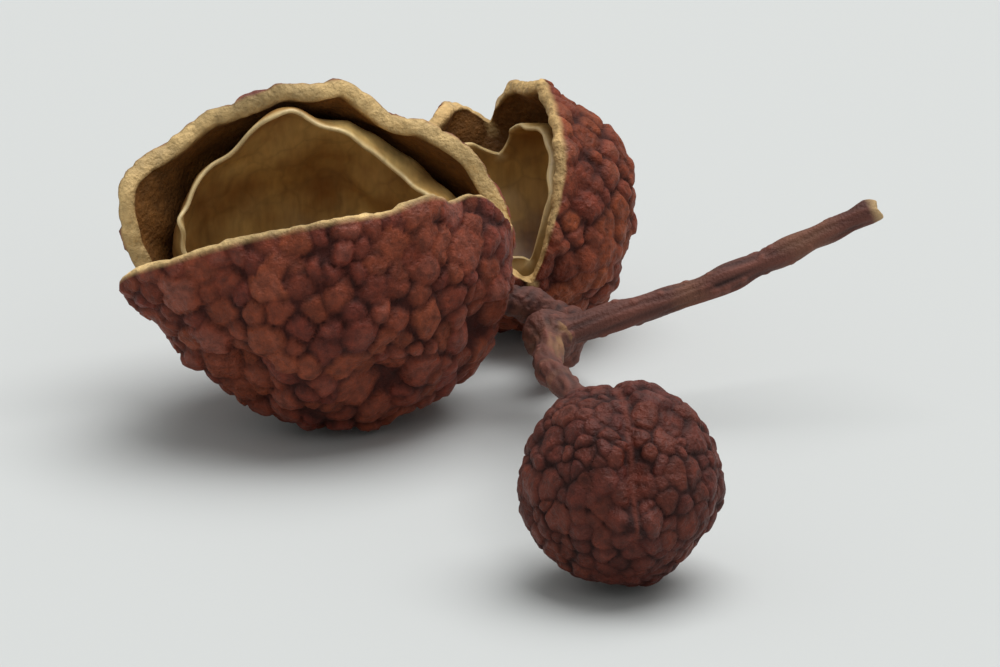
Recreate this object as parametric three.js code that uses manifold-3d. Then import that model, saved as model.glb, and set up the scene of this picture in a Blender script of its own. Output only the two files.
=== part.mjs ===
// A sprig of dried Sichuan pepper, lying on a surface: a forked woody stalk with two split husks
// on one receptacle and a small closed berry on a pedicel of its own.
// Millimetres, +Z up, +X along the sprig towards the bare end of the stalk, +Y to the back.
import * as THREE from 'three';
import { mergeVertices } from 'three/addons/utils/BufferGeometryUtils.js';
import Module from 'manifold-3d';

// Driving dimensions of the two split husks. A husk's own frame has its base at the origin, its apex
// along +X and its split towards +Z. The gape is the pointed opening between the two valves: where it
// starts and ends along the husk, how wide it gets, and how far it tilts down towards the apex.
// Heading, pitch and roll lay the husk down on the surface.
const LARGE_HUSK = {
  length: 5.2,
  width: 4.6,
  depth: 4.2,
  wall: 0.26,
  gape: { start: 1.0, end: 5.8, width: 3.0, tilt: 16 },
  heading: 194,
  pitch: -18,
  roll: -20,
  place: { x: -0.95, y: 0.85 },
};
const SMALL_HUSK = {
  length: 3.6,
  width: 3.2,
  depth: 3.1,
  wall: 0.22,
  gape: { start: 0.6, end: 4.0, width: 1.7, tilt: 12 },
  heading: 106,
  pitch: -34,
  roll: -24,
  place: { x: -0.45, y: 2.35 },
};

// The papery lining of a husk: a thinner shell that has come loose from the wall around it.
const LINING_WALL = 0.12;
const LINING_CLEARANCE = 0.1;
const LINING_SETBACK = 0.12;

// The closed berry.
const BERRY = { length: 2.75, width: 2.6, heading: 278, pitch: 12, place: { x: 0.3, y: -4.9 } };

// How much a fruit narrows from its middle to its apex, as a share of its width.
const APEX_DRAW = 0.1;

// The stalk: where it forks, where its bare end breaks off, how its limbs bend and how thick it is.
// A bend is a share of the way along the limb and how far it strays from the straight line.
const FORK = new THREE.Vector3(-0.4, 0, 1.15);
const TIP = new THREE.Vector3(3.75, 0.9, 2.55);
const STALK_BEND = { share: 0.5, stray: new THREE.Vector3(0, 0, -0.16) };
const RECEPTACLE_BEND = { share: 0.5, stray: new THREE.Vector3(-0.12, 0, 0.06) };
const BERRY_BENDS = [
  { share: 0.25, stray: new THREE.Vector3(-0.2, 0, -0.06) },
  { share: 0.62, stray: new THREE.Vector3(-0.22, 0, 0.14) },
];
const TIP_RADIUS = 0.14;
const FORK_RADIUS = 0.2;
const PEDICEL_RADIUS = 0.19;
const BERRY_PEDICEL_RADIUS = 0.15;
const KNOT_RADIUS = 0.34;
const RECEPTACLE_RADIUS = 0.42;
const COLLAR_RADIUS = 0.28;

// How far a husk's base stands off the receptacle, on a short stipe in line with the husk.
const STIPE = 0.7;

// Grown pieces meet with a small gap, and a limb runs this far into the fruit before it is trimmed to it.
const FIT_GAP = 0.06;
const LIMB_INTO_FRUIT = 0.25;

const BALL_SEGMENTS = 28;
const BALL_RINGS = 18;
const GAPE_SEGMENTS = 12;
const LIMB_SIDES = 10;
const LIMB_STEPS_PER_POINT = 4;
const KNOT_SEGMENTS = 14;
const KNOT_RINGS = 10;

const wasm = await Module();
wasm.setup();

const radians = THREE.MathUtils.degToRad;

// A closed three.js geometry as a solid that can be joined and cut.
function solidFrom(geometry) {
  const bare = geometry.clone();
  bare.deleteAttribute('normal');
  bare.deleteAttribute('uv');
  const merged = mergeVertices(bare);
  return new wasm.Manifold(new wasm.Mesh({
    numProp: 3,
    vertProperties: new Float32Array(merged.getAttribute('position').array),
    triVerts: new Uint32Array(merged.index.array),
  }));
}

function geometryFrom(solid) {
  const { vertProperties, triVerts } = solid.getMesh();
  const geometry = new THREE.BufferGeometry();
  geometry.setAttribute('position', new THREE.BufferAttribute(vertProperties, 3));
  geometry.setIndex(new THREE.BufferAttribute(triVerts, 1));
  geometry.computeVertexNormals();
  return geometry;
}

// A fruit's rounded body with its poles on X, its base at x = 0, taken in by inset all round.
// The apex end is drawn out a little, as on a follicle.
function fruitBody({ length, width, depth = width }, inset = 0) {
  const geometry = new THREE.SphereGeometry(1, BALL_SEGMENTS, BALL_RINGS);
  geometry.rotateZ(-Math.PI / 2);
  const position = geometry.getAttribute('position');
  for (let i = 0; i < position.count; i += 1) {
    const towardsApex = Math.max(0, position.getX(i));
    const slim = 1 - APEX_DRAW * towardsApex ** 2;
    position.setXYZ(i, position.getX(i), position.getY(i) * slim, position.getZ(i) * slim);
  }
  geometry.scale(length / 2 - inset, width / 2 - inset, depth / 2 - inset);
  geometry.translate(length / 2, 0, 0);
  return geometry;
}

// The pointed opening between the two valves, widened by setback on either side.
function gapeBody({ length, depth, gape }, setback = 0) {
  const middle = (gape.start + gape.end) / 2;
  const bulge = gape.width + 2 * setback;
  const outline = new THREE.Shape();
  outline.moveTo(gape.start - setback, 0);
  outline.quadraticCurveTo(middle, -bulge, gape.end, 0);
  outline.quadraticCurveTo(middle, bulge, gape.start - setback, 0);
  const settings = { depth, curveSegments: GAPE_SEGMENTS, bevelEnabled: false };
  const geometry = new THREE.ExtrudeGeometry(outline, settings);
  geometry.translate(-length / 2, 0, 0);
  geometry.rotateY(radians(gape.tilt));
  return geometry.translate(length / 2, 0, 0);
}

// A thin shell between two bodies of a fruit, open at the gape.
function splitShell(husk, outside, inside, setback) {
  const outer = solidFrom(fruitBody(husk, outside));
  const inner = solidFrom(fruitBody(husk, inside));
  return geometryFrom(outer.subtract(inner).subtract(solidFrom(gapeBody(husk, setback))));
}

function huskGeometry(husk) {
  return splitShell(husk, 0, husk.wall, 0);
}

function liningGeometry(husk) {
  const outside = husk.wall + LINING_CLEARANCE;
  return splitShell(husk, outside, outside + LINING_WALL, LINING_SETBACK);
}

function driedSkin(color) {
  return new THREE.MeshStandardMaterial({ color, roughness: 0.7, metalness: 0 });
}

const skin = { large: driedSkin(0x69392f), small: driedSkin(0x703a2b), berry: driedSkin(0x54302a) };
const paper = { large: driedSkin(0xc9a76c), small: driedSkin(0xbf9a5c) };
const bark = driedSkin(0x5a3a31);

function piece(name, geometry, material) {
  const mesh = new THREE.Mesh(geometry, material);
  mesh.name = name;
  return mesh;
}

// Turns a fruit's group to its heading, pitch and roll, and lowers it until it touches the surface.
function layDown(group, { heading, pitch, roll = 0, place }) {
  group.rotation.set(radians(roll), radians(pitch), radians(heading), 'ZYX');
  group.position.set(place.x, place.y, 0);
  group.updateMatrixWorld(true);
  group.position.z = -new THREE.Box3().setFromObject(group, true).min.z;
  group.updateMatrixWorld(true);
}

function huskGroup(name, husk, look) {
  const group = new THREE.Group();
  group.add(piece(name, huskGeometry(husk), skin[look]));
  group.add(piece(`${name}_lining`, liningGeometry(husk), paper[look]));
  layDown(group, husk);
  return group;
}

const largeHusk = huskGroup('large_husk', LARGE_HUSK, 'large');
const smallHusk = huskGroup('small_husk', SMALL_HUSK, 'small');

const berry = new THREE.Group();
berry.add(piece('closed_berry', fruitBody(BERRY), skin.berry));
layDown(berry, BERRY);

// A round limb along a curve, from one radius to the other, closed at both ends.
function limb(points, startRadius, endRadius) {
  const curve = new THREE.CatmullRomCurve3(points);
  const steps = LIMB_STEPS_PER_POINT * (points.length - 1);
  const { normals, binormals } = curve.computeFrenetFrames(steps);
  const geometry = new THREE.CylinderGeometry(1, 1, 1, LIMB_SIDES, steps);
  const position = geometry.getAttribute('position');
  for (let i = 0; i < position.count; i += 1) {
    const along = 0.5 - position.getY(i);
    const step = Math.round(along * steps);
    const radius = THREE.MathUtils.lerp(startRadius, endRadius, along);
    const placed = curve.getPointAt(along)
      .addScaledVector(normals[step], radius * position.getX(i))
      .addScaledVector(binormals[step], radius * position.getZ(i));
    position.setXYZ(i, placed.x, placed.y, placed.z);
  }
  return solidFrom(geometry);
}

function knot(centre, radius) {
  const geometry = new THREE.SphereGeometry(radius, KNOT_SEGMENTS, KNOT_RINGS);
  return solidFrom(geometry.translate(centre.x, centre.y, centre.z));
}

// A point on a fruit's own axis, in the sprig's frame.
function onAxis(group, distance) {
  return group.localToWorld(new THREE.Vector3(distance, 0, 0));
}

// A point of a limb between two ends, off the straight line.
function bend(from, to, { share, stray }) {
  return new THREE.Vector3().lerpVectors(from, to, share).add(stray);
}

// A fruit's body in the sprig's frame, grown by the fitting gap.
function grownBody(group, fruit) {
  return solidFrom(fruitBody(fruit, -FIT_GAP).applyMatrix4(group.matrixWorld));
}

function stalkGeometry() {
  const largeBase = onAxis(largeHusk, LIMB_INTO_FRUIT);
  const smallBase = onAxis(smallHusk, LIMB_INTO_FRUIT);
  const berryBase = onAxis(berry, LIMB_INTO_FRUIT);
  const receptacle = onAxis(largeHusk, -STIPE).lerp(onAxis(smallHusk, -STIPE), 0.5);
  const berryBends = BERRY_BENDS.map((along) => bend(FORK, berryBase, along));
  const grown = [
    limb([FORK, bend(FORK, TIP, STALK_BEND), TIP], FORK_RADIUS, TIP_RADIUS),
    limb([FORK, bend(FORK, receptacle, RECEPTACLE_BEND), receptacle], FORK_RADIUS, PEDICEL_RADIUS),
    limb([receptacle, onAxis(largeHusk, -STIPE / 2), largeBase], COLLAR_RADIUS, PEDICEL_RADIUS),
    limb([receptacle, onAxis(smallHusk, -STIPE / 2), smallBase], COLLAR_RADIUS, PEDICEL_RADIUS),
    limb([FORK, ...berryBends, berryBase], FORK_RADIUS, BERRY_PEDICEL_RADIUS),
    knot(FORK, KNOT_RADIUS),
    knot(receptacle, RECEPTACLE_RADIUS),
    knot(onAxis(berry, 0), COLLAR_RADIUS),
  ];
  const fruits = [[largeHusk, LARGE_HUSK], [smallHusk, SMALL_HUSK], [berry, BERRY]];
  const joined = grown.reduce((whole, next) => whole.add(next));
  const trimmed = fruits.reduce((whole, [group, fruit]) => whole.subtract(grownBody(group, fruit)), joined);
  return geometryFrom(trimmed);
}

const sprig = new THREE.Group();
sprig.add(largeHusk, smallHusk, berry, piece('stalk', stalkGeometry(), bark));

// The origin is on the surface, under the middle of the sprig.
const box = new THREE.Box3().setFromObject(sprig, true);
sprig.position.set(-(box.min.x + box.max.x) / 2, -(box.min.y + box.max.y) / 2, -box.min.z);

const part = new THREE.Group();
part.add(sprig);

export default part;
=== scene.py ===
import math
import random
import bpy
from mathutils import Euler, Matrix, Vector, kdtree, noise


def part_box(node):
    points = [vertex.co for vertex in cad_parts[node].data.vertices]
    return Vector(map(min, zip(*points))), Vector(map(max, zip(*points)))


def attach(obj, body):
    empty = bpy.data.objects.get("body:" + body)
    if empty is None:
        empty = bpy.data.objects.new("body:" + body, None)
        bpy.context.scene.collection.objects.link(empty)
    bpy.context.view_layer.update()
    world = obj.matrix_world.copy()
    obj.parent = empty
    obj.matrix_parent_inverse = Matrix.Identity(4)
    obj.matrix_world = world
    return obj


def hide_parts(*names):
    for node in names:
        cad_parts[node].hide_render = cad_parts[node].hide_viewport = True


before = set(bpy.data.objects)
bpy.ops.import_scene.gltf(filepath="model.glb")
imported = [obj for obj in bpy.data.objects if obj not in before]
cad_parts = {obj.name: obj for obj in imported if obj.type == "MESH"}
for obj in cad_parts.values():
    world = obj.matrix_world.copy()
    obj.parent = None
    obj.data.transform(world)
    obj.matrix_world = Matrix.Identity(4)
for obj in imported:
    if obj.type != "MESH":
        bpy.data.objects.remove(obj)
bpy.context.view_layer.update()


# The large husk: the dried skin of a split follicle, as thick as soft leather and grown in one piece.
# Its outside is packed with raised oil glands, and its two valves gape from near the base past the apex.
# It sits by its base on the stalk's receptacle and lies on its back, with the split turned up.
MM = 0.001
LARGE_SIZE = Vector((5.2, 4.6, 4.2))
LARGE_TURN = Euler((math.radians(-20), math.radians(-18), math.radians(194)))
LARGE_HALF_GAPE = math.radians(39)
LARGE_MOUTH_TILT = math.radians(34)
LARGE_WALL = 0.24


def pick(piece, kind, wanted):
    """Goes into edit mode with only the wanted faces or points of a piece selected."""
    bpy.ops.object.select_all(action="DESELECT")
    piece.select_set(True)
    bpy.context.view_layer.objects.active = piece
    bpy.context.tool_settings.mesh_select_mode = (kind == "points", False, kind == "faces")
    bpy.ops.object.mode_set(mode="EDIT")
    bpy.ops.mesh.select_all(action="DESELECT")
    bpy.ops.object.mode_set(mode="OBJECT")
    if kind == "faces":
        for face in piece.data.polygons:
            face.select = wanted(face.center)
    else:
        for point in piece.data.vertices:
            point.select = wanted(point.co)
    bpy.ops.object.mode_set(mode="EDIT")


def pull(piece, place, move, reach):
    """Draws the skin around a place along by a move that fades out at reach."""
    near = min((point.co - Vector(place)).length for point in piece.data.vertices)
    pick(piece, "points", lambda point: (point - Vector(place)).length <= near * 1.0001)
    bpy.ops.transform.translate(value=move, use_proportional_edit=True,
                                proportional_edit_falloff="SMOOTH", proportional_size=reach)
    bpy.ops.object.mode_set(mode="OBJECT")


def finish_with(piece, kind, **settings):
    """Adds a modifier with its settings and applies it."""
    bpy.context.view_layer.objects.active = piece
    modifier = piece.modifiers.new(kind.title(), kind)
    for name, value in settings.items():
        setattr(modifier, name, value)
    bpy.ops.object.modifier_apply(modifier=modifier.name)


def split_ball(name, rings, size, half_gape, mouth_tilt):
    """A ball split like a follicle: its poles are the ends of the split, and the faces between the lips
    are gone. In millimetres, centred on the origin, X from base to apex and Z out of the split.
    The group lip marks the edge."""
    bpy.ops.object.select_all(action="DESELECT")
    bpy.ops.mesh.primitive_uv_sphere_add(segments=rings * 3 // 2, ring_count=rings, radius=0.5)
    ball = bpy.context.object
    ball.name = ball.data.name = name
    pick(ball, "faces", lambda middle: abs(math.atan2(middle.y, -middle.x)) < half_gape)
    bpy.ops.mesh.delete(type="FACE")
    bpy.ops.mesh.select_mode(type="VERT")
    bpy.ops.mesh.select_non_manifold()
    bpy.ops.object.vertex_group_assign_new()
    ball.vertex_groups.active.name = "lip"
    bpy.ops.object.mode_set(mode="OBJECT")
    ball.rotation_euler.y = math.pi / 2 + mouth_tilt
    bpy.ops.object.transform_apply(location=False, rotation=True, scale=False)
    ball.scale = size
    bpy.ops.object.transform_apply(location=False, rotation=False, scale=True)
    return ball


def shares(piece, group):
    """How far each point belongs to a group, from 0 to 1."""
    wanted = piece.vertex_groups[group].index
    found = [0.0] * len(piece.data.vertices)
    for point in piece.data.vertices:
        for membership in point.groups:
            if membership.group == wanted:
                found[point.index] = membership.weight
    return found


def tree_of(places):
    """A search tree that finds the places nearest to a point."""
    tree = kdtree.KDTree(len(places))
    for index, place in enumerate(places):
        tree.insert(place, index)
    tree.balance()
    return tree


def flare_lips(piece, outwards, reach):
    """Turns the open edge of a split ball outwards, or inwards where the value is negative."""
    pick(piece, "points", lambda point: False)
    bpy.ops.mesh.select_non_manifold()
    bpy.ops.transform.shrink_fatten(value=outwards, use_proportional_edit=True,
                                    proportional_edit_falloff="SMOOTH", proportional_size=reach)
    bpy.ops.object.mode_set(mode="OBJECT")


def ruffle_lips(piece, pulls, amount, reach, seed):
    """Pulls the open edge about at a number of places, so that the lips run in waves."""
    chance = random.Random(seed)
    for _ in range(pulls):
        member = shares(piece, "lip")
        lips = [point.co.copy() for point in piece.data.vertices if member[point.index] > 0.5]
        pull(piece, chance.choice(lips), [chance.uniform(-amount, amount) for _ in range(3)], reach)


def crumple(piece, fold_size, depth):
    """Shrivels a piece as it dries, in soft folds of about fold_size."""
    folds = bpy.data.textures.new(piece.name + "_folds", "CLOUDS")
    folds.noise_scale = fold_size
    finish_with(piece, "DISPLACE", texture=folds, texture_coords="LOCAL", strength=depth, mid_level=0.5)


def bare_form(piece):
    """A copy of a bare skin, kept as the form that its lining has to stay inside."""
    form = bpy.data.objects.new(piece.name + "_form", piece.data.copy())
    bpy.context.scene.collection.objects.link(form)
    return form


def thicken(piece, wall):
    """Gives an open skin its wall, inwards, with the lips rounded over.
    The group inside marks the inner face."""
    piece.vertex_groups.new(name="inside")
    finish_with(piece, "SOLIDIFY", thickness=wall, offset=-1.0, shell_vertex_group="inside")
    finish_with(piece, "SUBSURF", levels=1, render_levels=1)


def keep(piece, name, values):
    """Keeps one value for each point as an attribute, for the colours."""
    kept = piece.data.attributes.new(name, "FLOAT", "POINT")
    kept.data.foreach_set("value", values)


GLAND_TRIES = 7000
GLAND_PACKING = 0.85
GLAND_SPREAD = 1.35
GLAND_WAVER = 0.09
WAVER_SIZE = 0.28
LIP_CRINKLE = 0.035
CRINKLE_SIZE = 0.14


def raise_glands(piece, size, smallest, largest, relief, seed):
    """Packs oil glands between two radii over the outside, each with its own height, some sunken in the
    middle, and wrinkles the skin between them. Keeps the height of the domes and a tint for each gland.
    The glands are placed by direction, so they don't depend on the order of the points."""
    chance = random.Random(seed)
    noise.seed_set(seed)
    points = [point.co.copy() for point in piece.data.vertices]
    normals = [point.normal.copy() for point in piece.data.vertices]
    inside = shares(piece, "inside")
    lip = shares(piece, "lip")
    outside = [place for place, within, edge in zip(points, inside, lip) if within < 0.05 and edge < 0.4]
    skin = tree_of(outside)
    glands = []
    for _ in range(GLAND_TRIES):
        aim = Vector([chance.gauss(0.0, 1.0) for _ in range(3)]).normalized()
        middle = skin.find([share * side / 2 for share, side in zip(aim, size)])[0]
        wanted = chance.uniform(smallest, largest)
        height = chance.uniform(0.55, 1.0)
        tint = chance.random()
        # A gland grows as large as its neighbours leave room for.
        gaps = ((middle - other).length / GLAND_PACKING - taken for other, taken, *_ in glands)
        radius = min(min(gaps, default=largest), wanted)
        if radius >= smallest:
            glands.append((middle, radius, height * (0.6 + 0.4 * radius / largest), tint))
    tree = tree_of([gland[0] for gland in glands])
    domes, tints = [], []
    for index, point in enumerate(points):
        # A point is on the dome of its nearest gland, which is creased where it meets the next one.
        warped = point + GLAND_WAVER * noise.noise_vector(point / WAVER_SIZE)
        near = sorted((distance / glands[found][1], found) for _, found, distance in tree.find_n(warped, 3))
        _, _, height, tint = glands[near[0][1]]
        spread = near[0][0] / GLAND_SPREAD
        sunken = 0.5 * max(0.0, tint - 0.5) * max(0.0, 1.0 - (spread / 0.5) ** 2)
        border = max(0.0, 1.0 - (near[1][0] - near[0][0]) / 0.6)
        crease = max(0.0, 0.16 + 0.3 * noise.noise(point / 0.7)) * border
        dome = max(0.0, height * max(0.0, 1.0 - spread ** 2) ** 0.6 - sunken - crease)
        wrinkle = 0.3 * noise.noise(point / 0.35) - 0.3 * abs(noise.noise(point / 0.16))
        outer = (1.0 - inside[index]) * (1.0 - lip[index])
        crinkle = LIP_CRINKLE * lip[index] * noise.noise(point / CRINKLE_SIZE)
        piece.data.vertices[index].co += normals[index] * (relief * (dome - 0.4 + wrinkle) * outer + crinkle)
        domes.append(dome)
        tints.append(tint)
    keep(piece, "gland_share", domes)
    keep(piece, "gland_tint", tints)
    keep(piece, "inside_share", inside)
    keep(piece, "lip_share", lip)


def resting_place(piece, node, turn):
    """The turn, the fit and the move that lay a piece down in the box of its CAD node, and take it from
    millimetres to metres."""
    turned = [turn.to_matrix() @ point.co for point in piece.data.vertices]
    own_low = Vector([min(point[axis] for point in turned) for axis in range(3)])
    own_high = Vector([max(point[axis] for point in turned) for axis in range(3)])
    low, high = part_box(node)
    fit = [(high[axis] - low[axis]) / (own_high[axis] - own_low[axis]) for axis in range(3)]
    return (Matrix.Translation(low) @ Matrix.Diagonal((*fit, 1.0)) @ Matrix.Translation(-own_low)
            @ turn.to_matrix().to_4x4())


def lay_down(piece, place):
    """Moves a finished piece to its resting place."""
    piece.data.transform(place)
    bpy.ops.object.select_all(action="DESELECT")
    piece.select_set(True)
    bpy.context.view_layer.objects.active = piece
    bpy.ops.object.shade_smooth()


large_husk = split_ball("warty_large_husk", 46, LARGE_SIZE, LARGE_HALF_GAPE, LARGE_MOUTH_TILT)
# Each valve's apex is drawn out and its lip raised, and the skin has sunk in at the sides and the back.
pull(large_husk, (2.5, 0.4, -0.2), (0.25, 0.05, 0.0), 1.1)
pull(large_husk, (2.5, -0.4, -0.2), (0.35, 0.0, 0.3), 1.1)
pull(large_husk, (0.3, -1.6, 1.35), (0.2, 0.1, 0.15), 1.6)
pull(large_husk, (0.1, 1.6, 1.35), (0.0, 0.05, 0.1), 1.4)
pull(large_husk, (-0.7, 2.2, -0.2), (0.0, -0.3, 0.0), 0.9)
pull(large_husk, (1.0, 1.9, -1.0), (0.0, -0.25, 0.15), 0.8)
pull(large_husk, (-1.8, 1.2, 0.4), (0.15, -0.2, 0.0), 0.7)
pull(large_husk, (0.2, -0.5, -2.0), (0.0, 0.0, 0.3), 1.7)
flare_lips(large_husk, 0.16, 0.6)
ruffle_lips(large_husk, 14, 0.16, 0.7, 5)
finish_with(large_husk, "SUBSURF", levels=1, render_levels=1)
crumple(large_husk, 1.4, 0.38)
large_form = bare_form(large_husk)
thicken(large_husk, LARGE_WALL)
raise_glands(large_husk, LARGE_SIZE, 0.13, 0.32, 0.15, 11)
large_place = resting_place(large_husk, "large_husk", LARGE_TURN)
lay_down(large_husk, large_place)


def linear(code):
    """An sRGB hex code as linear red, green, blue and full alpha."""
    parts = [int(code[start:start + 2], 16) / 255 for start in (1, 3, 5)]
    return [part / 12.92 if part <= 0.04045 else ((part + 0.055) / 1.055) ** 2.4 for part in parts] + [1.0]


def add_node(tree, kind, inputs, **fields):
    """Adds a shader node, sets its fields, and sets or links its inputs."""
    node = tree.nodes.new(kind)
    for name, value in fields.items():
        setattr(node, name, value)
    for name, value in inputs.items():
        if isinstance(value, bpy.types.NodeSocket):
            tree.links.new(value, node.inputs[name])
        else:
            node.inputs[name].default_value = value
    return node


def dried_skin(name, crevice_dust_and_shade, gland, blush, bloom_and_highlight, lip, inner):
    """Dried follicle skin: crevices dark with dust and painted shade, red-brown glands with a slight waxy
    gloss, pale tops of bloom and painted highlight, and a tan lip.
    """
    skin = bpy.data.materials.new(name)
    skin.use_nodes = True
    tree = skin.node_tree
    tree.nodes.clear()
    place = add_node(tree, "ShaderNodeTexCoord", {}).outputs["Object"]
    height = add_node(tree, "ShaderNodeAttribute", {}, attribute_name="gland_share").outputs["Fac"]
    tint = add_node(tree, "ShaderNodeAttribute", {}, attribute_name="gland_tint").outputs["Fac"]
    inside = add_node(tree, "ShaderNodeAttribute", {}, attribute_name="inside_share").outputs["Fac"]
    rim = add_node(tree, "ShaderNodeAttribute", {}, attribute_name="lip_share").outputs["Fac"]
    patches = add_node(tree, "ShaderNodeTexNoise", {"Vector": place, "Scale": 1 / (1.5 * MM), "Detail": 3.0})
    specks = add_node(tree, "ShaderNodeTexNoise", {"Vector": place, "Scale": 1 / (0.12 * MM), "Detail": 5.0})
    grain = add_node(tree, "ShaderNodeTexNoise", {"Vector": place, "Scale": 1 / (0.06 * MM), "Detail": 4.0})
    warm = add_node(tree, "ShaderNodeMath", {0: patches.outputs[0], 1: tint}, operation="ADD")
    warmth = add_node(tree, "ShaderNodeMapRange",
                      {"Value": warm.outputs[0], "From Min": 0.5, "From Max": 1.5,
                       "To Min": 0.0, "To Max": 1.0})
    hue = add_node(tree, "ShaderNodeMixRGB",
                   {"Fac": warmth.outputs[0], "Color1": linear(gland), "Color2": linear(blush)})
    # Painted highlight: the tops of the domes are paled towards the bloom colour, partly a real waxy bloom
    # and partly a painted highlight.
    top = add_node(tree, "ShaderNodeMapRange",
                   {"Value": height, "From Min": 0.55, "From Max": 0.95, "To Min": 0.0, "To Max": 0.5})
    bloom_and_highlight_tops = add_node(tree, "ShaderNodeMixRGB",
                       {"Fac": top.outputs[0], "Color1": hue.outputs[0], "Color2": linear(bloom_and_highlight)})
    # Painted shade: the low ground between the glands darkens to the crevice colour, partly dust and partly
    # shade.
    risen = add_node(tree, "ShaderNodeMapRange",
                     {"Value": height, "From Min": 0.05, "From Max": 0.55, "To Min": 0.0, "To Max": 1.0})
    body = add_node(tree, "ShaderNodeMixRGB",
                    {"Fac": risen.outputs[0], "Color1": linear(crevice_dust_and_shade), "Color2": bloom_and_highlight_tops.outputs[0]})
    mottle = add_node(tree, "ShaderNodeMapRange",
                      {"Value": specks.outputs[0], "From Min": 0.3, "From Max": 0.7,
                       "To Min": 0.6, "To Max": 1.35})
    mottled = add_node(tree, "ShaderNodeVectorMath",
                       {0: body.outputs[0], "Scale": mottle.outputs[0]}, operation="SCALE")
    bared = add_node(tree, "ShaderNodeMath", {0: inside, 1: rim}, operation="MAXIMUM")
    edge = add_node(tree, "ShaderNodeMapRange",
                    {"Value": bared.outputs[0], "From Min": 0.4, "From Max": 0.9,
                     "To Min": 0.0, "To Max": 1.0})
    clouded = add_node(tree, "ShaderNodeMapRange",
                       {"Value": patches.outputs[0], "From Min": 0.3, "From Max": 0.7,
                        "To Min": 1.2, "To Max": 0.55})
    bare = add_node(tree, "ShaderNodeMixRGB", {"Fac": rim, "Color1": linear(inner), "Color2": linear(lip)})
    tan = add_node(tree, "ShaderNodeVectorMath",
                   {0: bare.outputs[0], "Scale": clouded.outputs[0]}, operation="SCALE")
    fleck = add_node(tree, "ShaderNodeMapRange",
                     {"Value": specks.outputs[0], "From Min": 0.3, "From Max": 0.7,
                      "To Min": 0.75, "To Max": 1.2})
    flecked = add_node(tree, "ShaderNodeVectorMath",
                       {0: tan.outputs[0], "Scale": fleck.outputs[0]}, operation="SCALE")
    colour = add_node(tree, "ShaderNodeMixRGB",
                      {"Fac": edge.outputs[0], "Color1": mottled.outputs[0], "Color2": flecked.outputs[0]})
    dull = add_node(tree, "ShaderNodeMapRange",
                    {"Value": height, "From Min": 0.0, "From Max": 1.0, "To Min": 0.75, "To Max": 0.42})
    relief = add_node(tree, "ShaderNodeBump",
                      {"Strength": 0.9, "Distance": 0.05 * MM, "Height": grain.outputs[0]})
    shader = add_node(tree, "ShaderNodeBsdfPrincipled",
                      {"Base Color": colour.outputs[0], "Roughness": dull.outputs[0],
                       "Specular IOR Level": 0.28, "Normal": relief.outputs[0]})
    add_node(tree, "ShaderNodeOutputMaterial", {"Surface": shader.outputs[0]})
    return skin


large_husk.data.materials.append(dried_skin(
    "large_husk_dried_skin", crevice_dust_and_shade="#3d1309", gland="#6c2b1d", blush="#813c21", bloom_and_highlight="#955949",
    lip="#dcba80", inner="#7d5224"))
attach(large_husk, "root")
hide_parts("large_husk")


# The large husk's lining: the papery inner layer of the follicle, straw coloured and smooth.
# It has shrunk away from the husk as it dried, so its thin edge stands clear of the lips, and it has
# curled up a little at the back. It is still held by the base, inside the husk.
LINING_GAP = 0.12
LINING_WALL = 0.07


def keep_inside(lining, form, depth):
    """Presses a lining in wherever it comes nearer than depth to the outside of its husk, and takes the
    form away."""
    finish_with(lining, "SHRINKWRAP", target=form, wrap_method="NEAREST_SURFACEPOINT", wrap_mode="INSIDE",
                offset=depth)
    bpy.data.objects.remove(form)


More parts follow.
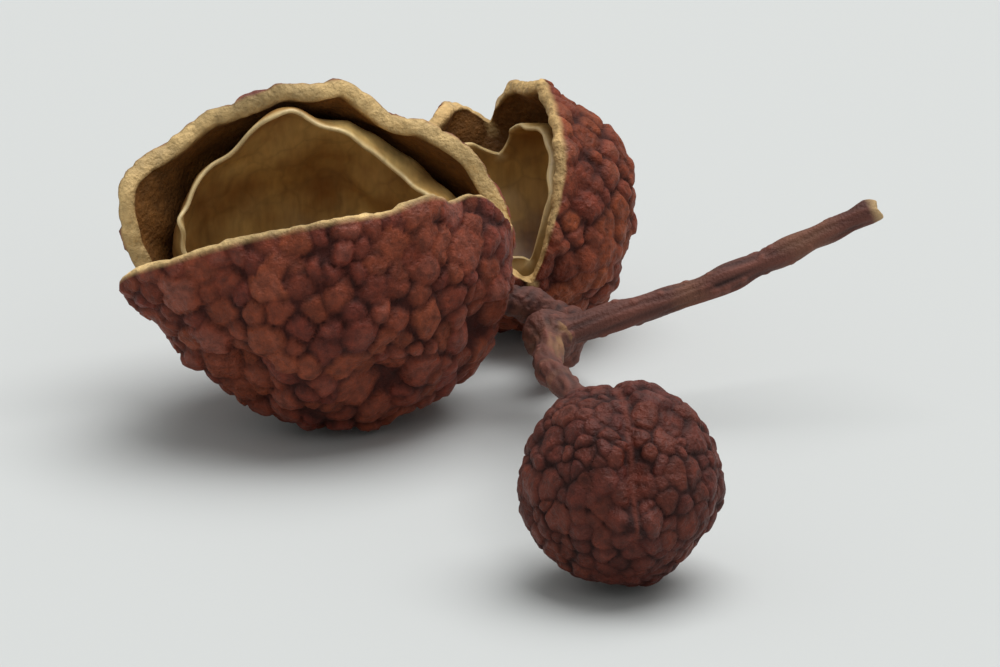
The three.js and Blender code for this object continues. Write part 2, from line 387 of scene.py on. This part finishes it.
def straw_paper(name, pale, deep, rim_highlight, shaded_bottom):
    """Papery follicle lining: straw coloured, with painted shade making it darker towards the bottom of the
    bowl, a pale rim with a painted highlight, faint fibres and veins and a soft sheen."""
    paper = bpy.data.materials.new(name)
    paper.use_nodes = True
    tree = paper.node_tree
    tree.nodes.clear()
    place = add_node(tree, "ShaderNodeTexCoord", {}).outputs["Object"]
    rim = add_node(tree, "ShaderNodeAttribute", {}, attribute_name="lip_share").outputs["Fac"]
    along = add_node(tree, "ShaderNodeMapping", {"Vector": place, "Scale": (1.0, 0.25, 0.25)})
    clouds = add_node(tree, "ShaderNodeTexNoise", {"Vector": place, "Scale": 1 / (1.1 * MM), "Detail": 4.0})
    fibres = add_node(tree, "ShaderNodeTexNoise",
                      {"Vector": along.outputs[0], "Scale": 1 / (0.08 * MM), "Detail": 4.0})
    drift = add_node(tree, "ShaderNodeTexNoise", {"Vector": place, "Scale": 1 / (0.4 * MM), "Detail": 2.0})
    wander = add_node(tree, "ShaderNodeVectorMath",
                      {0: drift.outputs["Color"], "Scale": 0.5 * MM}, operation="SCALE")
    shade = add_node(tree, "ShaderNodeMapRange",
                     {"Value": clouds.outputs[0], "From Min": 0.4, "From Max": 0.68,
                      "To Min": 0.0, "To Max": 0.85})
    body = add_node(tree, "ShaderNodeMixRGB",
                    {"Fac": shade.outputs[0], "Color1": linear(pale), "Color2": linear(deep)})
    # Painted shade: the deeper the paper lies in the bowl, the more it is darkened towards the shaded bottom
    # colour.
    hollow = add_node(tree, "ShaderNodeAttribute", {}, attribute_name="hollow_share").outputs["Fac"]
    uneven = add_node(tree, "ShaderNodeMath", {0: hollow, 1: clouds.outputs[0]}, operation="MULTIPLY")
    sunk = add_node(tree, "ShaderNodeMapRange",
                    {"Value": uneven.outputs[0], "From Min": 0.2, "From Max": 0.62,
                     "To Min": 0.0, "To Max": 0.85})
    shaded_deeper = add_node(tree, "ShaderNodeMixRGB",
                       {"Fac": sunk.outputs[0], "Color1": body.outputs[0], "Color2": linear(shaded_bottom)})
    # Painted highlight: the rim is paler paper, and it is brightened further with a painted highlight.
    lit = add_node(tree, "ShaderNodeMapRange",
                   {"Value": rim, "From Min": 0.4, "From Max": 1.0, "To Min": 0.0, "To Max": 0.7})
    edged = add_node(tree, "ShaderNodeMixRGB",
                     {"Fac": lit.outputs[0], "Color1": shaded_deeper.outputs[0], "Color2": linear(rim_highlight)})
    streak = add_node(tree, "ShaderNodeMapRange",
                      {"Value": fibres.outputs[0], "From Min": 0.3, "From Max": 0.7,
                       "To Min": 0.86, "To Max": 1.1})
    streaked = add_node(tree, "ShaderNodeVectorMath",
                        {0: edged.outputs[0], "Scale": streak.outputs[0]}, operation="SCALE")
    bent = add_node(tree, "ShaderNodeVectorMath", {0: place, 1: wander.outputs[0]}, operation="ADD")
    network = add_node(tree, "ShaderNodeTexVoronoi", {"Vector": bent.outputs[0], "Scale": 1 / (0.55 * MM)},
                       feature="DISTANCE_TO_EDGE")
    vein = add_node(tree, "ShaderNodeMapRange",
                    {"Value": network.outputs[0], "From Min": 0.0, "From Max": 0.09,
                     "To Min": 0.84, "To Max": 1.0})
    colour = add_node(tree, "ShaderNodeVectorMath",
                      {0: streaked.outputs[0], "Scale": vein.outputs[0]}, operation="SCALE")
    relief = add_node(tree, "ShaderNodeBump",
                      {"Strength": 0.5, "Distance": 0.015 * MM, "Height": fibres.outputs[0]})
    shader = add_node(tree, "ShaderNodeBsdfPrincipled",
                      {"Base Color": colour.outputs[0], "Roughness": 0.42, "Normal": relief.outputs[0]})
    add_node(tree, "ShaderNodeOutputMaterial", {"Surface": shader.outputs[0]})
    return paper


LARGE_LINING_SIZE = LARGE_SIZE - 2 * (LARGE_WALL + LINING_GAP) * Vector((1, 1, 1))
large_lining = split_ball("papery_large_lining", 28, LARGE_LINING_SIZE,
                          LARGE_HALF_GAPE + math.radians(1), LARGE_MOUTH_TILT)
# One edge stands up, the other has shrunk down, and the paper has sunk in below them.
pull(large_lining, (0.3, -1.35, 1.05), (-0.1, 0.15, 0.3), 1.5)
pull(large_lining, (0.6, 1.35, 1.05), (0.0, -0.25, -0.1), 1.2)
pull(large_lining, (0.5, -1.7, 0.2), (0.0, 0.28, 0.0), 0.7)
pull(large_lining, (-0.9, -1.5, 0.3), (0.1, 0.2, 0.0), 0.6)
pull(large_lining, (-1.4, 0.0, -1.2), (0.1, 0.0, 0.3), 0.5)
flare_lips(large_lining, -0.2, 0.6)
ruffle_lips(large_lining, 16, 0.14, 0.55, 3)
ruffle_lips(large_lining, 22, 0.1, 0.3, 4)
ruffle_lips(large_lining, 30, 0.08, 0.2, 6)
finish_with(large_lining, "SUBSURF", levels=1, render_levels=1)
crumple(large_lining, 0.7, 0.24)
crumple(large_lining, 0.3, 0.05)
keep_inside(large_lining, large_form, LARGE_WALL + LINING_GAP / 2)
# The standing edge curls up towards the lip.
pull(large_lining, (1.0, -1.25, 0.95), (0.1, 0.05, 0.4), 0.9)
pull(large_lining, (0.1, -1.35, 1.1), (0.0, 0.05, 0.2), 0.5)
thicken(large_lining, LINING_WALL)
keep(large_lining, "lip_share", shares(large_lining, "lip"))
# Painted shade: how deep each point of the lining lies in its bowl, for darkening the paper lower down.
hollow = [0.5 - point.co.z / LARGE_SIZE.z for point in large_lining.data.vertices]
keep(large_lining, "hollow_share", hollow)
lay_down(large_lining, large_place)
large_lining.data.materials.append(straw_paper(
    "large_lining_straw_paper", pale="#d8b672", deep="#945f28", rim_highlight="#e8d09a", shaded_bottom="#6d3f14"))
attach(large_lining, "root")
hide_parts("large_husk_lining")


# The small husk: the twin follicle on the same receptacle, less open and a little redder.
# It is the same dried, glandular skin, and it stands back from the receptacle with its apex up.
SMALL_SIZE = Vector((3.6, 3.2, 3.1))
SMALL_TURN = Euler((math.radians(-24), math.radians(-34), math.radians(106)))
SMALL_HALF_GAPE = math.radians(34)
SMALL_MOUTH_TILT = math.radians(22)
SMALL_WALL = 0.2

small_husk = split_ball("warty_small_husk", 36, SMALL_SIZE, SMALL_HALF_GAPE, SMALL_MOUTH_TILT)
# The apex is drawn out on both valves, and one lip stands out.
pull(small_husk, (1.7, 0.3, -0.2), (0.25, 0.0, 0.1), 0.9)
pull(small_husk, (1.7, -0.3, -0.2), (0.25, 0.0, 0.1), 0.9)
pull(small_husk, (0.2, 1.1, 1.0), (0.0, 0.15, 0.0), 1.0)
flare_lips(small_husk, 0.1, 0.45)
ruffle_lips(small_husk, 10, 0.12, 0.5, 8)
finish_with(small_husk, "SUBSURF", levels=1, render_levels=1)
crumple(small_husk, 1.2, 0.3)
small_form = bare_form(small_husk)
thicken(small_husk, SMALL_WALL)
raise_glands(small_husk, SMALL_SIZE, 0.12, 0.28, 0.14, 23)
small_place = resting_place(small_husk, "small_husk", SMALL_TURN)
lay_down(small_husk, small_place)
small_husk.data.materials.append(dried_skin(
    "small_husk_dried_skin", crevice_dust_and_shade="#3d1307", gland="#6f2c19", blush="#853e1d", bloom_and_highlight="#90543a",
    lip="#d6b176", inner="#7a5023"))
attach(small_husk, "root")
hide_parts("small_husk")


# The small husk's lining: the same straw paper, still close to its husk and held by the base.
# Its edge stands a little below the lips of the split.
SMALL_LINING_SIZE = SMALL_SIZE - 2 * (SMALL_WALL + LINING_GAP) * Vector((1, 1, 1))
small_lining = split_ball("papery_small_lining", 24, SMALL_LINING_SIZE,
                          SMALL_HALF_GAPE + math.radians(3), SMALL_MOUTH_TILT)
flare_lips(small_lining, -0.12, 0.5)
ruffle_lips(small_lining, 10, 0.1, 0.45, 9)
ruffle_lips(small_lining, 20, 0.07, 0.18, 10)
finish_with(small_lining, "SUBSURF", levels=1, render_levels=1)
crumple(small_lining, 0.9, 0.1)
keep_inside(small_lining, small_form, SMALL_WALL + LINING_GAP / 2)
thicken(small_lining, LINING_WALL)
keep(small_lining, "lip_share", shares(small_lining, "lip"))
# Painted shade: how deep each point of the lining lies in its bowl, for darkening the paper lower down.
hollow = [0.5 - point.co.z / SMALL_SIZE.z for point in small_lining.data.vertices]
keep(small_lining, "hollow_share", hollow)
lay_down(small_lining, small_place)
small_lining.data.materials.append(straw_paper(
    "small_lining_straw_paper", pale="#d0ad69", deep="#8d5b27", rim_highlight="#e1c68f", shaded_bottom="#673a13"))
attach(small_lining, "root")
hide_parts("small_husk_lining")


# The closed berry: a small follicle that dried before it split, on a pedicel of its own.
# Its skin is the same, darker and tighter, with a seam from base to apex where it would have opened.
BERRY_SIZE = Vector((2.75, 2.6, 2.6))
BERRY_TURN = Euler((0.0, math.radians(12), math.radians(278)))

bpy.ops.object.select_all(action="DESELECT")
bpy.ops.mesh.primitive_cube_add(size=1.0)
berry = bpy.context.object
berry.name = berry.data.name = "warty_closed_berry"
pick(berry, "points", lambda point: True)
bpy.ops.mesh.subdivide(number_cuts=23)
bpy.ops.transform.tosphere(value=1.0)
bpy.ops.object.mode_set(mode="OBJECT")
radius = berry.data.vertices[0].co.length
berry.scale = BERRY_SIZE / (2 * radius)
bpy.ops.object.transform_apply(location=False, rotation=False, scale=True)
pull(berry, (1.35, 0.0, 0.1), (0.3, 0.0, 0.1), 0.45)
pick(berry, "points", lambda point: abs(point.y) < 0.05 and point.z > -0.2 and point.x > -1.1)
bpy.ops.object.vertex_group_assign_new()
berry.vertex_groups.active.name = "lip"
bpy.ops.transform.shrink_fatten(value=-0.14, use_proportional_edit=True,
                                proportional_edit_falloff="SHARP", proportional_size=0.35)
bpy.ops.object.mode_set(mode="OBJECT")
finish_with(berry, "SUBSURF", levels=1, render_levels=1)
crumple(berry, 0.9, 0.26)
finish_with(berry, "SUBSURF", levels=1, render_levels=1)
berry.vertex_groups.new(name="inside")
raise_glands(berry, BERRY_SIZE, 0.1, 0.22, 0.09, 37)
berry_place = resting_place(berry, "closed_berry", BERRY_TURN)
lay_down(berry, berry_place)
berry.data.materials.append(dried_skin(
    "berry_dried_skin", crevice_dust_and_shade="#2e0d07", gland="#542016", blush="#612919", bloom_and_highlight="#6e3a2d",
    lip="#602a1d", inner="#602a1d"))
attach(berry, "root")
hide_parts("closed_berry")


# The stalk: a forked woody twig, grown as one piece, with swollen knots at the fork, under the husks and at
# the berry's foot. Its bark has dried into long wrinkles, and its bare end broke off the rest of the plant.
stalk = bpy.data.objects.new("wrinkled_stalk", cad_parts["stalk"].data.copy())
bpy.context.scene.collection.objects.link(stalk)
stalk.data.transform(Matrix.Scale(1 / MM, 4))
stalk.data.materials.clear()
pick(stalk, "points", lambda point: True)
bpy.ops.mesh.remove_doubles(threshold=0.0005)
bpy.ops.object.mode_set(mode="OBJECT")
finish_with(stalk, "REMESH", mode="VOXEL", voxel_size=0.02)
finish_with(stalk, "SMOOTH", factor=0.5, iterations=12)

# Where the limbs start and end, and where each fruit's base sits, in millimetres in the sprig's frame.
FORK = Vector((0.619, 1.067, 1.15))
TIP = Vector((4.769, 1.967, 2.55))
RECEPTACLE = Vector((0.722, 2.469, 0.694))
LARGE_FOOT = large_place @ Vector((-LARGE_SIZE.x / 2, 0.0, 0.0)) / MM
SMALL_FOOT = small_place @ Vector((-SMALL_SIZE.x / 2, 0.0, 0.0)) / MM
BERRY_FOOT = berry_place @ Vector((-BERRY_SIZE.x / 2, 0.0, 0.0)) / MM
LIMB_ENDS = (TIP, RECEPTACLE, BERRY_FOOT)
LENTICELS = 130
LENTICEL_RADIUS = 0.06
LENTICEL_HEIGHT = 0.016
FURROW_WIDTH = 0.085
FINE_FURROW_WIDTH = 0.055
FURROW_DEPTH = 0.024

# The stalk's feet run into the skins of the fruits, as they grew.
for foot, turn, depth, reach in (
    (LARGE_FOOT, LARGE_TURN, 0.28, 0.5),
    (SMALL_FOOT, SMALL_TURN, 0.26, 0.5),
    (BERRY_FOOT, BERRY_TURN, 0.15, 0.4),
):
    pull(stalk, foot, turn.to_matrix() @ Vector((depth, 0.0, 0.0)), reach)


def off_limb(point, end):
    """How far a point is from the straight line between the fork and a limb's end."""
    along = (point - FORK).dot(end - FORK) / (end - FORK).length_squared
    return (point - FORK - (end - FORK) * min(max(along, 0.0), 1.0)).length


points = [point.co.copy() for point in stalk.data.vertices]
normals = [point.normal.copy() for point in stalk.data.vertices]
chance = random.Random(41)
surface = tree_of(points)
lenticels = []
for _ in range(LENTICELS):
    spot = FORK.lerp(chance.choice(LIMB_ENDS), chance.random())
    off_line = Vector([chance.uniform(-0.3, 0.3) for _ in range(3)])
    lenticels.append(surface.find(spot + off_line)[0])
lenticels = tree_of(lenticels)
furrow_shade_and_lenticels, broken, peeled, swollen = [], [], [], []
for index, point in enumerate(points):
    # The wrinkles run along the nearest limb.
    end = min(LIMB_ENDS, key=lambda end: off_limb(point, end))
    along = (end - FORK).normalized()
    stretched = point - 0.88 * along * point.dot(along)
    furrow = noise.noise(stretched / FURROW_WIDTH) + 0.6 * noise.noise(stretched / FINE_FURROW_WIDTH)
    # The bare end has splintered, on a stub that is a little swollen.
    past_tip = (point - TIP).dot((TIP - FORK).normalized())
    at_end = min(max(past_tip / 0.1 + 1.2, 0.0), 1.0)
    scar = min(max(past_tip / 0.3 + 1.2, 0.0), 1.0)
    splinter = 0.07 * at_end * noise.noise(stretched / 0.13)
    # A ragged strip of bark has peeled off the berry's pedicel beside the fork.
    ragged = (point - FORK).length + 0.5 * noise.noise(stretched / 0.14)
    near_fork = min(max((ragged - 0.3) / 0.25, 0.0), max((1.35 - ragged) / 0.5, 0.0), 1.0)
    facing = normals[index].x + 0.35 * normals[index].z + 0.5 * noise.noise(stretched / 0.1)
    side = near_fork * min(max(1.8 * facing - 0.7, 0.0), 0.75) if end is BERRY_FOOT else 0.0
    # Lenticels dot the bark, and the receptacle under the husks is lumpy.
    wart = max(0.0, 1.0 - (lenticels.find(point)[2] / LENTICEL_RADIUS) ** 2)
    swell = min(max(2.0 - (point - RECEPTACLE).length / 0.4, 0.0), 1.0)
    lump = 0.05 * noise.noise(point / 0.5) + 0.1 * swell * noise.noise(point / 0.3) + 0.045 * scar
    move = FURROW_DEPTH * furrow + LENTICEL_HEIGHT * wart + lump
    stalk.data.vertices[index].co += normals[index] * move * (1.0 - 0.7 * at_end) + along * splinter
    # Painted shade: the colour darkens with the depth of the furrow, and the lenticels are paler.
    furrow_shade_and_lenticels.append(0.5 + 0.55 * furrow + 0.5 * wart)
    broken.append(at_end)
    peeled.append(side)
    swollen.append(swell)
keep(stalk, "furrow_shade_and_lenticel_share", furrow_shade_and_lenticels)
keep(stalk, "broken_share", broken)
keep(stalk, "peeled_share", peeled)
keep(stalk, "swollen_share", swollen)
stalk.scale = (MM, MM, MM)
bpy.ops.object.transform_apply(location=True, rotation=True, scale=True)
bpy.ops.object.shade_smooth()

# Dried bark: dull red-brown ridges over furrows darkened with painted shade, pale lenticels, and pale where
# it is peeled or broken.
bark = bpy.data.materials.new("dried_stalk_bark")
bark.use_nodes = True
tree = bark.node_tree
tree.nodes.clear()
place = add_node(tree, "ShaderNodeTexCoord", {}).outputs["Object"]
furrow = add_node(tree, "ShaderNodeAttribute", {}, attribute_name="furrow_shade_and_lenticel_share").outputs["Fac"]
patches = add_node(tree, "ShaderNodeTexNoise", {"Vector": place, "Scale": 1 / (0.7 * MM), "Detail": 4.0})
grain = add_node(tree, "ShaderNodeTexNoise", {"Vector": place, "Scale": 1 / (0.04 * MM), "Detail": 3.0})
torn = add_node(tree, "ShaderNodeAttribute", {}, attribute_name="broken_share").outputs["Fac"]
bared = add_node(tree, "ShaderNodeAttribute", {}, attribute_name="peeled_share").outputs["Fac"]
lump = add_node(tree, "ShaderNodeAttribute", {}, attribute_name="swollen_share").outputs["Fac"]
# Painted shade: the furrows are painted darker on the bark and on the ruddy knot alike.
body = add_node(tree, "ShaderNodeMixRGB",
                {"Fac": furrow, "Color1": linear("#32130c"), "Color2": linear("#6f3c2e")})
ruddy = add_node(tree, "ShaderNodeMixRGB",
                 {"Fac": furrow, "Color1": linear("#35120b"), "Color2": linear("#743a28")})
pale = add_node(tree, "ShaderNodeMapRange",
                {"Value": patches.outputs[0], "From Min": 0.5, "From Max": 0.75,
                 "To Min": 0.0, "To Max": 0.6})
patched = add_node(tree, "ShaderNodeMixRGB",
                   {"Fac": pale.outputs[0], "Color1": body.outputs[0], "Color2": linear("#80553b")})
skinned = add_node(tree, "ShaderNodeMixRGB",
                   {"Fac": bared, "Color1": patched.outputs[0], "Color2": linear("#906a43")})
knobbed = add_node(tree, "ShaderNodeMixRGB",
                   {"Fac": lump, "Color1": skinned.outputs[0], "Color2": ruddy.outputs[0]})
colour = add_node(tree, "ShaderNodeMixRGB",
                  {"Fac": torn, "Color1": knobbed.outputs[0], "Color2": linear("#b5966a")})
relief = add_node(tree, "ShaderNodeBump",
                  {"Strength": 0.8, "Distance": 0.03 * MM, "Height": grain.outputs[0]})
shader = add_node(tree, "ShaderNodeBsdfPrincipled",
                  {"Base Color": colour.outputs[0], "Roughness": 0.72, "Normal": relief.outputs[0]})
add_node(tree, "ShaderNodeOutputMaterial", {"Surface": shader.outputs[0]})
stalk.data.materials.append(bark)
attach(stalk, "root")
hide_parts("stalk")


# The studio: a pale plain floor, a broad soft light overhead and a weak fill from the front, and a long
# lens that looks down on the sprig as the photograph does.
CAMERA_DISTANCE = 0.3
CAMERA_ELEVATION = math.radians(18.7)
FRAME_WIDTH = 12.6 * MM
SENSOR_WIDTH = 36.0
AIM_HEIGHT = 1.55 * MM
AIR_LIGHT = 0.55
FLOOR_SIZE = 1.6

bpy.ops.mesh.primitive_plane_add(size=FLOOR_SIZE)
floor = bpy.context.object
floor.name = "studio_floor"
# Matt paint: an even pale grey that takes soft shadows and shows no gloss.
paint = bpy.data.materials.new("pale_matt_paint")
paint.use_nodes = True
paint.node_tree.nodes["Principled BSDF"].inputs["Base Color"].default_value = linear("#c6c8c7")
paint.node_tree.nodes["Principled BSDF"].inputs["Roughness"].default_value = 0.8
floor.data.materials.append(paint)

# The air looks as pale as the floor from every side, and lights the sprig less than it looks.
world = bpy.data.worlds.new("studio_air")
bpy.context.scene.world = world
world.use_nodes = True
seen = add_node(world.node_tree, "ShaderNodeLightPath", {}).outputs["Is Camera Ray"]
strength = add_node(world.node_tree, "ShaderNodeMapRange",
                    {"Value": seen, "To Min": AIR_LIGHT, "To Max": 1.0})
world.node_tree.nodes["Background"].inputs["Color"].default_value = linear("#dcdfde")
world.node_tree.links.new(strength.outputs[0], world.node_tree.nodes["Background"].inputs["Strength"])

for name, place, width, power in (
    ("overhead_softbox", (0.09, 0.06, 0.4), 0.42, 2.0),
    ("front_fill", (0.15, -0.35, 0.25), 0.3, 0.06),
):
    bpy.ops.object.light_add(type="AREA", location=place)
    lamp = bpy.context.object
    lamp.name = name
    lamp.data.size = width
    lamp.data.energy = power
    lamp.rotation_euler = (-Vector(place)).to_track_quat("-Z", "Y").to_euler()

target = Vector((0.0, 0.0, AIM_HEIGHT))
bpy.ops.object.camera_add(location=target + CAMERA_DISTANCE * Vector(
    (0.0, -math.cos(CAMERA_ELEVATION), math.sin(CAMERA_ELEVATION))))
camera = bpy.context.object
camera.name = "long_lens_camera"
camera.rotation_euler = (math.pi / 2 - CAMERA_ELEVATION, 0.0, 0.0)
camera.data.sensor_width = SENSOR_WIDTH
camera.data.lens = SENSOR_WIDTH * CAMERA_DISTANCE / FRAME_WIDTH
camera.data.clip_start = 0.01
camera.data.clip_end = 10.0
bpy.context.scene.camera = camera
bpy.context.scene.view_settings.view_transform = "Standard"
